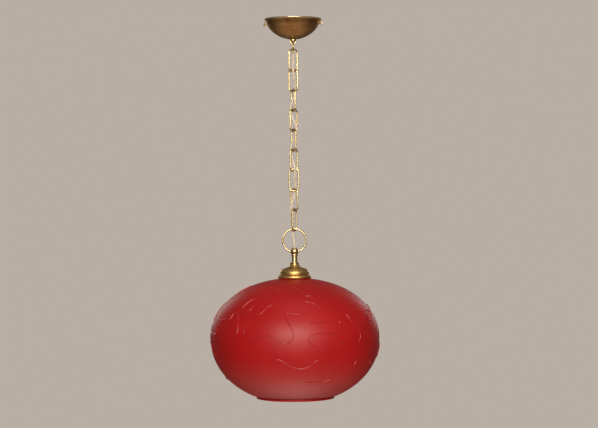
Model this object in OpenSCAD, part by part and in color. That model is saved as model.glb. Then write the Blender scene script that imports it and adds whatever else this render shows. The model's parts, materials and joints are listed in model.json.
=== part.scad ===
// Pendant lamp: a brass canopy, a nine-link chain with a clear flex woven through it,
// a suspension ring, and a squashed glass globe under a small brass cap.
// The origin is the centre of the ceiling face, and the lamp hangs down along -Z.

/* [Canopy] */
// Outer diameter of the canopy at its rim
canopy_d = 104; // [100:1:112]
// Depth of the canopy from the ceiling to the lowest point of its bowl
canopy_depth = 37; // [36:1:40]
// Thickness of the spun brass
canopy_wall = 1; // [0.8:0.1:1.2]
// How far the ceiling strap and its two side screws are turned about the vertical
strap_turn = -17; // [-30:1:0]

/* [Chain] */
// Diameter of the chain's wire
wire_d = 3; // [2.8:0.1:3]
// Outer width of a link
link_w = 19; // [19:0.5:20]
// Distance from one crossing of two links to the next
pitch = 35.4; // [35.4:0.1:35.8]
// Radius of a link's corners, at the middle of its wire
link_corner = 6; // [5:0.5:6]
// Outer diameter of the jump ring between the hang loop and the first link
jump_d = 18.5; // [18:0.1:18.5]
// Outer diameter of the suspension ring
ring_d = 44.8; // [44:0.2:45]
// Diameter of the suspension ring's wire
ring_wire_d = 3.3; // [3:0.1:3.3]

/* [Flex] */
// Outer diameter of the clear flex
flex_d = 5; // [4.5:0.1:5]
// Diameter of one insulated core
core_d = 1.8; // [1.6:0.1:2]

/* [Globe] */
// Outer diameter of the glass at its widest
globe_d = 300; // [290:1:305]
// Height of the glass above its widest circle
globe_up = 107.5; // [105:0.5:107.5]
// Depth that the lower curve would have if it closed
globe_down = 115; // [112:0.5:116]
// Thickness of the glass
glass_wall = 3.2; // [3:0.1:3.6]
// Outer diameter of the open lower rim
mouth_d = 139; // [136:1:142]
// Diameter of the hole at the top of the glass
glass_hole_d = 42; // [40:1:44]

/* [Cap and holder] */
// Diameter of the cap's lower rim
cap_d = 60; // [58:1:60]
// Diameter of the swivel ball
ball_d = 14.8; // [14.6:0.1:15]
// Outer diameter of the lampholder's body
holder_d = 40; // [39:0.5:42]
// Diameter of the light bulb's glass
bulb_d = 60; // [55:1:62]

/* [Hidden] */

// Colours
steel = [0.72, 0.72, 0.70];
aged_brass = [0.40, 0.26, 0.13];
bright_brass = [0.85, 0.70, 0.40];
antique_brass = [0.60, 0.42, 0.18];
flex_colour = [0.85, 0.76, 0.58];
glass_red = [0.62, 0.05, 0.07];
dark_plastic = [0.10, 0.09, 0.08];
ceramic = [0.90, 0.89, 0.85];
rubber = [0.13, 0.12, 0.12];

gap = 0.1;                 // running gap where one wire hangs on another
$fn = 96;
wire_fn = 48;

// Canopy: a straight rim above a spherical bowl
rim_h = 4.5;
bowl_edge_r = canopy_d/2 - 1;
bowl_edge_z = -6;
bowl_h = canopy_depth + bowl_edge_z;
bowl_r = (bowl_edge_r*bowl_edge_r + bowl_h*bowl_h)/(2*bowl_h);
bowl_cz = bowl_r - canopy_depth;
bowl_in_r = bowl_r - canopy_wall;
side_screw_z = -9.5;
strap_t = 1.5;
ear_x = 44;
ceiling_hole_x = 36;
grip_y = 13;               // where the flex leaves the canopy, behind the hang loop

// Hang loop, jump ring and chain, from the top down
eye_wire_d = 2.8;
eye_r = 4.8;
eye_bottom_z = -45.4;
eye_z = eye_bottom_z + eye_r;
collar_d = 12.4;
nipple_d = 10;
jump_top_z = eye_bottom_z + eye_wire_d/2 + wire_d/2 + gap;
jump_r = (jump_d - wire_d)/2;
jump_z = jump_top_z - jump_r;
cross_1_z = jump_top_z - 2*jump_r + (wire_d + gap)/2;    // jump ring over first link
link_cl_h = pitch + wire_d + gap;                        // height at the middle of the wire
link_turn = [26, -22, -68, 40, -62, 40, -2, -45, 64];    // yaw of each link's plane
link_z = [for (i = [0:8]) cross_1_z - pitch*(i + 0.5)];
cross_10_z = cross_1_z - 9*pitch;
ring_r = (ring_d - ring_wire_d)/2;
ring_z = cross_10_z + (ring_wire_d + gap)/2 - ring_r;

// Swivel ball and stem
ball_z = -413.3;
pin_angle = acos((ring_z - ball_z)/ring_r);    // where the ring comes down to its pins
pin_tip_x = 4.6;
pivot_clearance = 0.05;
flex_bore_d = 6.4;
stem_d = 10;
stem_top_z = ball_z - 4.2;
stem_bottom_z = -480.5;

// Cap and globe
globe_r = globe_d/2;
globe_z = -568.2;
cap_top_z = -435.6;
cap_rim_z = -461.9;
flange_d = 16.6;

// Lampholder and bulb
plate_z = -467;
holder_top_z = -471.8;
holder_split_z = -488;
holder_bottom_z = -526;
bulb_neck_z = -522.4;
bulb_neck_r = 12.6;
bulb_centre_z = -572;

// Route of the flex, by hand: out of the canopy, past one crossing of the chain after
// another, and down through the ball and the stem
flex_route = [[0, 13, -16], [0, 13, -26], [0, 13, -48], [0, -5, -92], [3.5, 3.5, -127],
    [-5.5, 1.5, -162.5], [5.5, -1, -198], [-5.5, 1, -233.5], [1.5, -4.5, -269],
    [2, 4.5, -304], [-5.5, -1, -339.5], [-3, 4.5, -375], [0, 0, -406], [0, 0, -430],
    [0, 0, -481]];
// Heights at which one length of flex hands over to the next: the middle of each link
flex_cut_z = concat([-16, -50], link_z, [ring_z, -481]);

// Where the flex is at height z: half a cosine wave from each point of the route to the next
function flex_leg(z, i = 0) =
    (i >= len(flex_route) - 2 || z >= flex_route[i + 1][2]) ? i : flex_leg(z, i + 1);
function flex_at(z) =
    let (i = flex_leg(z), a = flex_route[i], b = flex_route[i + 1],
         m = (1 - cos(180*(a[2] - z)/(a[2] - b[2])))/2)
    [a[0] + (b[0] - a[0])*m, a[1] + (b[1] - a[1])*m, z];

// A point on a smooth curve through the points p, at u points along it
function at_or(p, i) = p[max(0, min(len(p) - 1, i))];
function curve_at(p, u) =
    let (i = min(floor(u), len(p) - 2), t = u - i,
         a = at_or(p, i - 1), b = at_or(p, i), c = at_or(p, i + 1), d = at_or(p, i + 2))
    0.5*(2*b + (c - a)*t + (2*a - 5*b + 4*c - d)*t*t + (3*b - a - 3*c + d)*t*t*t);

function unit(v) = v/norm(v);
// The side direction u carried from ring to ring without a twist, one per direction of travel
function carried(dirs, i, u) =
    i >= len(dirs) ? [] : let (w = unit(u - (u*dirs[i])*dirs[i])) concat([w], carried(dirs, i + 1, w));

// One swept tube through the points p, whose end faces square up to start_dir and end_dir
module swept_tube(p, d, sides, start_dir, end_dir) {
    n = len(p);
    dirs = [for (i = [0:n - 1])
        i == 0 ? unit(start_dir) : i == n - 1 ? unit(end_dir) : unit(p[i + 1] - p[i - 1])];
    sideways = carried(dirs, 0, [1, 0, 0]);
    rings = [for (i = [0:n - 1])
        let (u = sideways[i], v = cross(dirs[i], u))
        for (k = [0:sides - 1])
            p[i] + d/2*(cos(360*k/sides)*u + sin(360*k/sides)*v)];
    walls = [for (i = [0:n - 2], k = [0:sides - 1])
        let (a = i*sides + k, b = i*sides + (k + 1)%sides)
        [a, b, b + sides, a + sides]];
    first = [for (k = [sides - 1:-1:0]) k];
    last = [for (k = [0:sides - 1]) (n - 1)*sides + k];
    polyhedron(points = rings, faces = concat([first], walls, [last]));
}

// One length of flex between two hand-over heights
module flex(number, steps = 4) {
    top = flex_cut_z[number - 1];
    low = flex_cut_z[number];
    points = [for (i = [0:steps]) flex_at(top + (low - top)*i/steps)];
    first_z = flex_cut_z[0];
    last_z = flex_cut_z[len(flex_cut_z) - 1];
    start_dir = flex_at(top - 0.5) - flex_at(min(top + 0.5, first_z));
    end_dir = flex_at(max(low - 0.5, last_z)) - flex_at(low + 0.5);
    color(flex_colour) swept_tube(points, flex_d, 8, start_dir, end_dir);
}

// A torus of round wire, in the XZ plane about the origin
module wire_ring(r, d) {
    rotate([90, 0, 0]) rotate_extrude() translate([r, 0]) circle(d = d, $fn = wire_fn);
}

// A long link of round wire, in the XZ plane about the origin; w and h are at the wire's middle
module wire_link(w, h, corner, d) {
    for (s = [-1, 1]) {
        translate([s*w/2, 0, corner - h/2]) cylinder(h = h - 2*corner, d = d, $fn = wire_fn);
        translate([0, 0, s*h/2]) rotate([0, 90, 0])
            cylinder(h = w - 2*corner, d = d, center = true, $fn = wire_fn);
    }
    for (c = [[1, 1, 0], [-1, 1, 90], [-1, -1, 180], [1, -1, 270]])
        translate([c[0]*(w/2 - corner), 0, c[1]*(h/2 - corner)]) rotate([90, 0, 0])
            rotate([0, 0, c[2]]) rotate_extrude(angle = 90)
                translate([corner, 0]) circle(d = d, $fn = wire_fn);
}

// A hexagonal nut or a bar of it, with two of its flats facing +Y and -Y
module hex(across_flats, h) {
    cylinder(h = h, d = across_flats/cos(30), $fn = 6);
}

// A round slotted screw along +Z, with its head from 0 to head_h and its shank below
module slotted_screw(head_d, head_h, shank_d, shank_h) {
    difference() {
        union() {
            cylinder(h = head_h, d = head_d);
            translate([0, 0, -shank_h]) cylinder(h = shank_h, d = shank_d);
        }
        translate([-head_d, -0.4, head_h*0.5]) cube([2*head_d, 0.8, head_h]);
    }
}

module ceiling_strap() {
    color(steel) rotate([0, 0, strap_turn]) difference() {
        union() {
            translate([-ear_x, -9, -strap_t]) cube([2*ear_x, 18, strap_t]);
            for (s = [-1, 1])
                translate([s*(ear_x - strap_t/2) - strap_t/2, -6, -13])
                    cube([strap_t, 12, 13]);
        }
        for (s = [-1, 1]) {
            translate([s*ceiling_hole_x, 0, -strap_t - 1]) cylinder(h = strap_t + 2, d = 4.5);
            translate([s*ear_x, 0, side_screw_z]) rotate([0, 90, 0])
                cylinder(h = 8, d = 3.3, center = true);
        }
        translate([18, 0, -strap_t - 1]) cylinder(h = strap_t + 2, d = 3.4);
        for (x = [-24, -12]) translate([x, 0, -strap_t - 1])
            cylinder(h = strap_t + 2, d = 2.6);
    }
}

module canopy_bowl() {
    color(aged_brass) difference() {
        rotate_extrude($fn = 128) {
            translate([canopy_d/2 - canopy_wall, -rim_h]) square([canopy_wall, rim_h]);
            translate([bowl_edge_r - canopy_wall - 0.6, bowl_edge_z + 0.5])
                square([canopy_wall + 1.4, 1.2]);
            intersection() {
                translate([0, bowl_cz]) difference() {
                    circle(r = bowl_r, $fn = 180);
                    circle(r = bowl_in_r, $fn = 180);
                }
                translate([0, -canopy_depth - 1])
                    square([canopy_d, canopy_depth + 1 + bowl_edge_z + 0.7]);
            }
        }
        translate([0, 0, -canopy_depth - 1]) cylinder(h = 5, d = nipple_d + 0.2);
        translate([0, grip_y, -canopy_depth - 1]) cylinder(h = 6, d = 8.2);
        rotate([0, 0, strap_turn]) for (s = [-1, 1])
            translate([s*48, 0, side_screw_z]) rotate([0, 90, 0])
                cylinder(h = 8, d = 4, center = true);
    }
}

module canopy_side_screws() {
    color(bright_brass) rotate([0, 0, strap_turn]) for (s = [0, 180]) rotate([0, 0, s])
        translate([51.2, 0, side_screw_z]) rotate([0, 90, 0]) slotted_screw(7, 2.4, 3.2, 9);
}

// The eye that the chain hangs on, its collar, and the nipple that goes through the canopy
module hang_loop() {
    color(bright_brass) {
        translate([0, 0, eye_z]) wire_ring(eye_r, eye_wire_d);
        translate([0, 0, -39.2]) cylinder(h = 2.4, d = collar_d);
        translate([0, 0, -36.8]) cylinder(h = 7.8, d = nipple_d);
    }
}

module loop_washer() {
    color(steel) translate([0, 0, -35.3]) difference() {
        cylinder(h = 1, d = 14);
        translate([0, 0, -1]) cylinder(h = 3, d = nipple_d + 0.1);
    }
}

module loop_locknut() {
    color(steel) translate([0, 0, -34.2]) difference() {
        hex(14, 3);
        translate([0, 0, -1]) cylinder(h = 5, d = nipple_d + 0.1);
    }
}

// Three-way block under the strap, with wire ways across it and screw ways from below
module terminal_block() {
    color(ceramic) rotate([0, 0, strap_turn]) difference() {
        translate([-29, -7, -13.5]) cube([22, 14, 11.9]);
        for (i = [0:2]) translate([-25 + 7*i, 0, -7.5]) {
            rotate([90, 0, 0]) cylinder(h = 20, d = 2.6, center = true);
            for (y = [-4, 4]) translate([0, y, -8]) cylinder(h = 8, d = 3.2);
        }
    }
}

module terminal_screws() {
    color(bright_brass) rotate([0, 0, strap_turn])
        for (i = [0:2], y = [-4, 4]) translate([-25 + 7*i, y, -12.8]) difference() {
            cylinder(h = 3.4, d = 3);
            translate([-3, -0.3, -1]) cube([6, 0.6, 1.8]);
        }
}

module earth_screw() {
    color(bright_brass) rotate([0, 0, strap_turn]) translate([18, 0, -2.6])
        rotate([180, 0, 0]) slotted_screw(6.5, 2.2, 3.3, 2.4);
}

// Screwed grip that holds the flex where it leaves the canopy, shaped to the bowl
module cord_grip() {
    color(bright_brass) difference() {
        union() {
            translate([0, grip_y, -40]) cylinder(h = 5, d = 9.4);
            translate([0, grip_y, -36]) cylinder(h = 9, d = 8);
        }
        translate([0, 0, bowl_cz]) difference() {
            sphere(r = bowl_r + 0.02, $fn = 128);
            translate([0, grip_y, -canopy_depth - bowl_cz - 5]) cylinder(h = 20, d = 8);
        }
        translate([0, grip_y, -45]) cylinder(h = 25, d = flex_d + 0.6);
    }
}

module cord_grip_nut() {
    color(dark_plastic) intersection() {
        translate([0, grip_y, -36]) difference() {
            hex(11, 6.5);
            translate([0, 0, -1]) cylinder(h = 9, d = 8.1);
        }
        translate([0, 0, bowl_cz]) sphere(r = bowl_in_r - 0.02, $fn = 128);
    }
}

// One insulated core from the end of the sheath, along the points p
module core(p, end_dir, colour) {
    points = [for (i = [0:5]) curve_at(p, (len(p) - 1)*i/5)];
    color(colour) swept_tube(points, core_d, 8, [0, 0, 1], end_dir);
}

module core_live() {
    core([[-1.2, 12.4, -16], [-4, 13.5, -11.5], [-11, 16, -10.5], [-19, 17, -9], [-22, 13.6, -7.5]],
        [-0.3, -1, 0], [0.35, 0.18, 0.08]);
}

module core_neutral() {
    core([[0, 14.2, -16], [-0.5, 16.5, -8.5], [-6, 18, -4.5], [-12.5, 15.5, -6], [-15.4, 11.6, -7.5]],
        [-0.3, -1, 0], [0.10, 0.22, 0.60]);
}

// The earth core runs to the flat eye under the earth screw
module core_earth() {
    core([[1.2, 12.4, -16], [3, 12, -10], [8, 8, -5], [12.5, 1, -2.9], [13.6, -2.6, -2.6]],
        [0.3, -1, 0], [0.35, 0.60, 0.12]);
}

module earth_lug() {
    color(steel) rotate([0, 0, strap_turn]) translate([18, 0, -2.5]) difference() {
        cylinder(h = 0.9, d = 7);
        translate([0, 0, -1]) cylinder(h = 3, d = 3.5);
    }
}

module jump_ring() {
    color(bright_brass) translate([0, 0, jump_z]) rotate([0, 0, 90]) wire_ring(jump_r, wire_d);
}

module chain_link(i) {
    color(bright_brass) translate([0, 0, link_z[i - 1]]) rotate([0, 0, link_turn[i - 1]])
        wire_link(link_w - wire_d, link_cl_h, link_corner, wire_d);
}

// An open ring whose two ends meet straight pins that pivot in the sides of the ball
module suspension_ring() {
    color(bright_brass) translate([0, 0, ring_z]) {
        rotate([90, 0, 0]) rotate([0, 0, pin_angle - 90])
            rotate_extrude(angle = 360 - 2*pin_angle, $fn = 128)
                translate([ring_r, 0]) circle(d = ring_wire_d, $fn = wire_fn);
        for (s = [-1, 1])
            translate([s*pin_tip_x, 0, ball_z - ring_z]) rotate([0, s*90, 0])
                cylinder(h = ring_r*sin(pin_angle) - pin_tip_x + 0.9, d = ring_wire_d,
                    $fn = wire_fn);
    }
}

module swivel_ball() {
    color(bright_brass) difference() {
        union() {
            translate([0, 0, ball_z]) sphere(d = ball_d, $fn = 96);
            translate([0, 0, ball_z - 8.1]) cylinder(h = 3.6, d = 11.8);
        }
        for (s = [-1, 1]) translate([s*4.4, 0, ball_z]) rotate([0, s*90, 0])
            cylinder(h = 8, d = ring_wire_d + 2*pivot_clearance, $fn = wire_fn);
        translate([0, 0, ball_z - 12]) cylinder(h = 24, d = flex_bore_d);
        translate([0, 0, stem_top_z - 6]) cylinder(h = 6, d = stem_d + 0.1);
    }
}

module stem_tube() {
    color(bright_brass) difference() {
        translate([0, 0, stem_bottom_z]) cylinder(h = stem_top_z - stem_bottom_z, d = stem_d);
        translate([0, 0, stem_bottom_z - 1])
            cylinder(h = stem_top_z - stem_bottom_z + 2, d = flex_bore_d);
    }
}

module stem_flange() {
    color(bright_brass) rotate_extrude() difference() {
        union() {
            translate([0, -435.4]) square([flange_d/2 - 1.4, 2.8]);
            translate([flange_d/2 - 1.4, -434]) circle(r = 1.4, $fn = 32);
        }
        translate([0, -440]) square([stem_d/2 + 0.05, 10]);
    }
}

// Outline of the cap from its top to its rim: a concave flare, a shoulder, a groove, a band
flare = [for (a = [0:12:60]) [20 - 12*cos(a), cap_top_z - 7.6*sin(a)]];
shoulder = [for (a = [72:-12:0]) [18.5 + 7.3*cos(a), -452 + 8*sin(a)]];
groove = [[24.9, -453.4], [26.4, -454.9]];
band = [for (a = [60:-20:-60]) [cap_d/2 - 2.7 + 2.7*cos(a), -458.7 + 3.2*sin(a)]];
cap_outline = concat(flare, shoulder, groove, band);

module glass_cap() {
    wall = 1.1;
    inner_from = len(cap_outline) - len(band);
    inner = [for (i = [inner_from:-1:3]) cap_outline[i] - [wall + 0.6, wall]];
    color(antique_brass) rotate_extrude($fn = 128)
        polygon(concat([[stem_d/2 + 0.1, cap_top_z]], cap_outline,
            [[cap_d/2 - 1.8, cap_rim_z], [cap_d/2 - 2.8, cap_rim_z + 2.3]], inner,
            [[stem_d/2 + 0.1, -438.4]]));
}

module cap_gasket() {
    color(rubber) translate([0, 0, cap_rim_z + 0.5]) difference() {
        cylinder(h = 1.4, d = 53.6);
        translate([0, 0, -1]) cylinder(h = 4, d = glass_hole_d);
    }
}

// A squashed round curve: the radius r at height h above the widest circle
function bulge(h, depth, power, r) = r*pow(max(0, 1 - pow(abs(h)/depth, power)), 1/power);
up_power = 2.1;
down_power = 2.06;
lip_h = 4.6;
lip_t = 4.6;
function glass_out(h) = h > 0 ? bulge(h, globe_up, up_power, globe_r)
    : bulge(h, globe_down, down_power, globe_r);
function glass_in(h) = h > 0 ? bulge(h, globe_up - glass_wall, up_power, globe_r - glass_wall)
    : bulge(h, globe_down - glass_wall, down_power, globe_r - glass_wall);
// Heights at even steps of angle round the curve, from the hole at the top to the mouth
function glass_h(a) = a > 0 ? globe_up*sin(a) : globe_down*sin(a);
out_h = [for (a = [80:-5:-60]) glass_h(a)];
in_h = [for (a = [-60:5:75]) a > 0 ? (globe_up - glass_wall)*sin(a)
    : (globe_down - glass_wall)*sin(a)];
mouth_h = -101.2;

module glass_globe() {
    hole_r = glass_hole_d/2;
    outer = [for (h = out_h) [glass_out(h), h]];
    inner = [for (h = in_h) [glass_in(h), h]];
    color(glass_red) translate([0, 0, globe_z]) rotate_extrude($fn = 160)
        polygon(concat([[hole_r, globe_up*0.9915]], outer,
            [[mouth_d/2 + 0.2, mouth_h + 0.4], [mouth_d/2 - 0.6, mouth_h - 0.6],
             [mouth_d/2, mouth_h - 1.8], [mouth_d/2, mouth_h - lip_h + 0.8],
             [mouth_d/2 - 1, mouth_h - lip_h], [mouth_d/2 - lip_t + 1, mouth_h - lip_h],
             [mouth_d/2 - lip_t, mouth_h - lip_h + 1], [mouth_d/2 - lip_t, mouth_h + 0.8]],
            inner, [[hole_r, (globe_up - glass_wall)*0.9905]]));
}

module plate_gasket() {
    color(rubber) translate([0, 0, plate_z + 0.05]) difference() {
        cylinder(h = 1.1, d = 54);
        translate([0, 0, -1]) cylinder(h = 4, d = glass_hole_d - 6);
    }
}

module retaining_plate() {
    color(steel) translate([0, 0, plate_z - 1.5]) difference() {
        cylinder(h = 1.5, d = 56);
        translate([0, 0, -1]) cylinder(h = 4, d = stem_d + 0.2);
    }
}

module stem_locknut() {
    color(steel) translate([0, 0, plate_z - 4.6]) difference() {
        hex(14, 3);
        translate([0, 0, -1]) cylinder(h = 5, d = stem_d + 0.1);
    }
}

module holder_cap() {
    color(dark_plastic) translate([0, 0, holder_split_z]) difference() {
        rotate_extrude() {
            square([holder_d/2 - 1, 7]);
            translate([0, 7]) square([holder_d/2 - 6, 5]);
            translate([holder_d/2 - 6, 7]) circle(r = 5, $fn = 64);
            square([8, holder_top_z - holder_split_z]);
        }
        translate([0, 0, -1]) cylinder(h = 10, d = holder_d - 7);
        translate([0, 0, -1]) cylinder(h = 25, d = stem_d + 0.1);
    }
}

module holder_body() {
    h = holder_split_z - holder_bottom_z;
    color(dark_plastic) translate([0, 0, holder_bottom_z]) difference() {
        union() {
            cylinder(h = h, d = holder_d);
            for (z = [8, 14, 20]) translate([0, 0, z]) cylinder(h = 3, d = holder_d + 2);
        }
        translate([0, 0, -1]) cylinder(h = h - 8, d = holder_d - 5);
        translate([0, 0, -1]) cylinder(h = h + 3, d = holder_d - 9);
    }
}

// Ceramic disc that carries the contacts; it sits on the body's inner step
module holder_insert() {
    color(ceramic) translate([0, 0, -495.4]) difference() {
        union() {
            translate([0, 0, 7.6]) cylinder(h = 3.6, d = holder_d - 7.4);
            cylinder(h = 8, d = holder_d - 9.4);
        }
        for (x = [-10, 10]) translate([x, 0, -1]) cylinder(h = 14, d = 3.2);
        translate([0, 0, -1]) cylinder(h = 4, d = 16);
    }
}

module holder_shell() {
    color(bright_brass) translate([0, 0, -521]) difference() {
        cylinder(h = 25.4, d = 28.4);
        translate([0, 0, -1]) cylinder(h = 30, d = 27.2);
    }
}

module holder_contact() {
    color(bright_brass) translate([0, 0, -496.2]) {
        cylinder(h = 2, d = 7);
        translate([-1.5, -1.5, 1.9]) cube([3, 3, 1.9]);
    }
}

module holder_screws() {
    color(bright_brass) for (x = [-10, 10]) translate([x, 0, -484]) slotted_screw(5, 2, 3, 8);
}

module holder_cores() {
    for (s = [-1, 1]) {
        route = [[s*1.2, 0, -481], [s*2.6, 1.2, -482.6], [s*5, 2.6, -483.1],
            [s*7.4, 3, -483.1]];
        color(s < 0 ? [0.35, 0.18, 0.08] : [0.10, 0.22, 0.60])
            swept_tube([for (i = [0:5]) curve_at(route, 3*i/5)], core_d, 8,
                [0, 0, -1], [s, 0.2, 0]);
    }
}

// A smooth stretch from a to b that leaves along p and arrives along q
function blend_at(a, b, p, q, t) =
    (2*t*t*t - 3*t*t + 1)*a + (t*t*t - 2*t*t + t)*p + (3*t*t - 2*t*t*t)*b + (t*t*t - t*t)*q;
// The bulb's outline drawn in by inset: a neck that swells into a round end
function bulb_outline(inset) =
    let (r = bulb_d/2 - inset,
         join = [r*cos(40), bulb_centre_z + r*sin(40)],
         neck = [bulb_neck_r - inset, bulb_neck_z])
    concat([for (i = [0:9]) blend_at(neck, join, [0, -30], 40*[sin(40), -cos(40)], i/10)],
        [for (a = [40:-10:-80]) [r*cos(a), bulb_centre_z + r*sin(a)]],
        [[0, bulb_centre_z - r]]);

module bulb_glass() {
    inner = bulb_outline(1);
    color([0.95, 0.93, 0.88, 0.5]) rotate_extrude($fn = 96)
        polygon(concat(bulb_outline(0), [for (i = [len(inner) - 1:-1:0]) inner[i]]));
}

module bulb_screw_cap() {
    color(steel) translate([0, 0, -522.3]) difference() {
        union() {
            cylinder(h = 20.3, d = 26);
            translate([0, 0, 20.3]) cylinder(h = 2, d1 = 26, d2 = 20);
        }
        translate([0, 0, -1]) cylinder(h = 21, d = 24.8);
    }
}

module bulb_insulator() {
    color(dark_plastic) translate([0, 0, -499.9]) cylinder(h = 1.4, d1 = 19, d2 = 11);
}

module bulb_contact() {
    color(bright_brass) translate([0, 0, -498.4]) cylinder(h = 1.4, d = 9);
}

// The glass stem inside the bulb, with the ring of filament that it carries
module bulb_filament() {
    filament_z = -563;
    filament_r = 9;
    color([0.85, 0.82, 0.75]) {
        translate([0, 0, -545]) cylinder(h = 22.2, d = 9);
        translate([0, 0, filament_z]) cylinder(h = 19, d = 2.4);
        translate([0, 0, filament_z]) rotate([0, 90, 0])
            cylinder(h = 2*filament_r, d = 0.9, center = true, $fn = 32);
        translate([0, 0, filament_z]) rotate([90, 0, 0]) wire_ring(filament_r, 1.1);
    }
}

ceiling_strap();
canopy_bowl();
canopy_side_screws();
hang_loop();
loop_washer();
loop_locknut();
terminal_block();
terminal_screws();
earth_screw();
cord_grip();
cord_grip_nut();
core_live();
core_neutral();
core_earth();
earth_lug();
jump_ring();
chain_link(1);  // link_1
chain_link(2);  // link_2
chain_link(3);  // link_3
chain_link(4);  // link_4
chain_link(5);  // link_5
chain_link(6);  // link_6
chain_link(7);  // link_7
chain_link(8);  // link_8
chain_link(9);  // link_9
suspension_ring();
flex(1);  // flex_01
flex(2);  // flex_02
flex(3);  // flex_03
flex(4);  // flex_04
flex(5);  // flex_05
flex(6);  // flex_06
flex(7);  // flex_07
flex(8);  // flex_08
flex(9);  // flex_09
flex(10);  // flex_10
flex(11);  // flex_11
flex(12);  // flex_12
swivel_ball();
stem_tube();
stem_flange();
glass_cap();
cap_gasket();
glass_globe();
plate_gasket();
retaining_plate();
stem_locknut();
holder_cap();
holder_body();
holder_insert();
holder_shell();
holder_contact();
holder_screws();
holder_cores();
bulb_glass();
bulb_screw_cap();
bulb_insulator();
bulb_contact();
bulb_filament();
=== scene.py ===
# %% [markdown]
# # A pendant lamp with a red glass globe
#
# The lamp hangs from a brass canopy on nine links of chain, and a clear flex is woven down
# through them to a small brass cap and a squashed globe of satin red glass. The frame already
# holds every piece in its place, so this lesson dresses it: most pieces are shaped afresh with
# bmesh operators where the frame has them, and each finish is a small tree of shader nodes.

# %% Load the frame
import json
import math
import random

import bmesh
import bpy
from mathutils import Matrix, Vector

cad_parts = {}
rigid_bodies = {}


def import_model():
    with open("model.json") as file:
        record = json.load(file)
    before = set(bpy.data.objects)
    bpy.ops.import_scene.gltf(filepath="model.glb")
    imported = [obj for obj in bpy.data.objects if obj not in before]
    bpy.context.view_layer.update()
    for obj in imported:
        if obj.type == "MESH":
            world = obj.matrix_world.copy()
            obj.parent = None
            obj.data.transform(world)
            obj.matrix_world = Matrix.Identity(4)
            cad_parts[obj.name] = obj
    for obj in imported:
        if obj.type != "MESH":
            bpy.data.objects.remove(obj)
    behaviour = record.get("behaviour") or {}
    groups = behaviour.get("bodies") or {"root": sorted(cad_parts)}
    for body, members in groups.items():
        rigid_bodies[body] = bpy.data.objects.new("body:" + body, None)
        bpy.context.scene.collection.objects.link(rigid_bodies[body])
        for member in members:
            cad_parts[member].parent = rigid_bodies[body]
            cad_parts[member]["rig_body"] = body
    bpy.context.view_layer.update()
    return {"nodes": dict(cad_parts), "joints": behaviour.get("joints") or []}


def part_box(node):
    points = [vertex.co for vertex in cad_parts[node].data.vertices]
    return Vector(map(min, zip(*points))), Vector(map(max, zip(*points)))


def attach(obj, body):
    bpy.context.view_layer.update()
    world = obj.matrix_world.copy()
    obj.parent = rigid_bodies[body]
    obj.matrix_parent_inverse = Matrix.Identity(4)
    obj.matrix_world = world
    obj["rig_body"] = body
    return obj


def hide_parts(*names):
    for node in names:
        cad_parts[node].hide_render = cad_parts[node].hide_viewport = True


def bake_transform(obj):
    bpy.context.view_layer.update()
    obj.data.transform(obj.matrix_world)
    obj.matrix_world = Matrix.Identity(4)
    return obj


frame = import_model()
MM = 0.001
scene = bpy.context.scene
scene.view_settings.view_transform = "Standard"

# %% [markdown]
# ## Camera
#
# A long lens from about three metres keeps the globe and the canopy almost free of
# perspective. A wide lens close by would also frame the lamp, but it would look down on the
# globe and up at the canopy. The tiny roll leans the drop by less than half a degree.

# %% Camera
def aim(obj, target, roll=0.0):
    """Turn a camera or a light so that it looks at the target."""
    look = (Vector(target) - obj.location).to_track_quat("-Z", "Y").to_matrix()
    obj.rotation_euler = (look @ Matrix.Rotation(roll, 3, "Z")).to_euler()


camera_data = bpy.data.cameras.new("camera")
camera_data.lens = 108
camera = bpy.data.objects.new("camera", camera_data)
camera.location = (0, -3.19, -0.322)
aim(camera, (0.0085, 0, -0.347), roll=math.radians(-0.4))
scene.collection.objects.link(camera)
scene.camera = camera
print("camera:", camera_data.lens, "mm lens at", tuple(round(c, 3) for c in camera.location))

# %% [markdown]
# ## Tools for finishes
#
# A metal or a glass is never one even surface, so every finish on the lamp draws its roughness
# from noise, and most of them draw their colour and a fine bump from it too. The noise reads
# Object coordinates. Each object sits at the origin, so these are places on the lamp in
# metres, and neighbouring links never wear the same pattern.
# A turned or spun piece needs its marks to run round it: there the noise reads only the
# distance from the axis and the height.

# %% Tools for finishes
def add_node(tree, kind, inputs=(), **settings):
    """Add a shader node, set its properties, and set or link its inputs."""
    node = tree.nodes.new(kind)
    for key, value in settings.items():
        setattr(node, key, value)
    for key, value in dict(inputs).items():
        if isinstance(value, bpy.types.NodeSocket):
            tree.links.new(value, node.inputs[key])
        else:
            node.inputs[key].default_value = value
    return node


def new_finish(name, colour, metallic, roughness):
    """A material whose shader starts from one colour and one roughness."""
    material = bpy.data.materials.new(name)
    material.use_nodes = True
    shader = material.node_tree.nodes["Principled BSDF"]
    shader.inputs["Base Color"].default_value = (*colour, 1)
    shader.inputs["Metallic"].default_value = metallic
    shader.inputs["Roughness"].default_value = roughness
    return material, material.node_tree, shader


def place_on_lamp(tree, stretch=(1, 1, 1)):
    """Object coordinates, stretched along an axis for a drawn or brushed mark."""
    where = add_node(tree, "ShaderNodeTexCoord")
    return add_node(tree, "ShaderNodeMapping",
                    {"Vector": where.outputs["Object"], "Scale": stretch}).outputs["Vector"]


def place_by_axes(tree):
    """Object coordinates as separate X, Y and Z."""
    where = add_node(tree, "ShaderNodeTexCoord")
    return add_node(tree, "ShaderNodeSeparateXYZ", {"Vector": where.outputs["Object"]}).outputs


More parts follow.
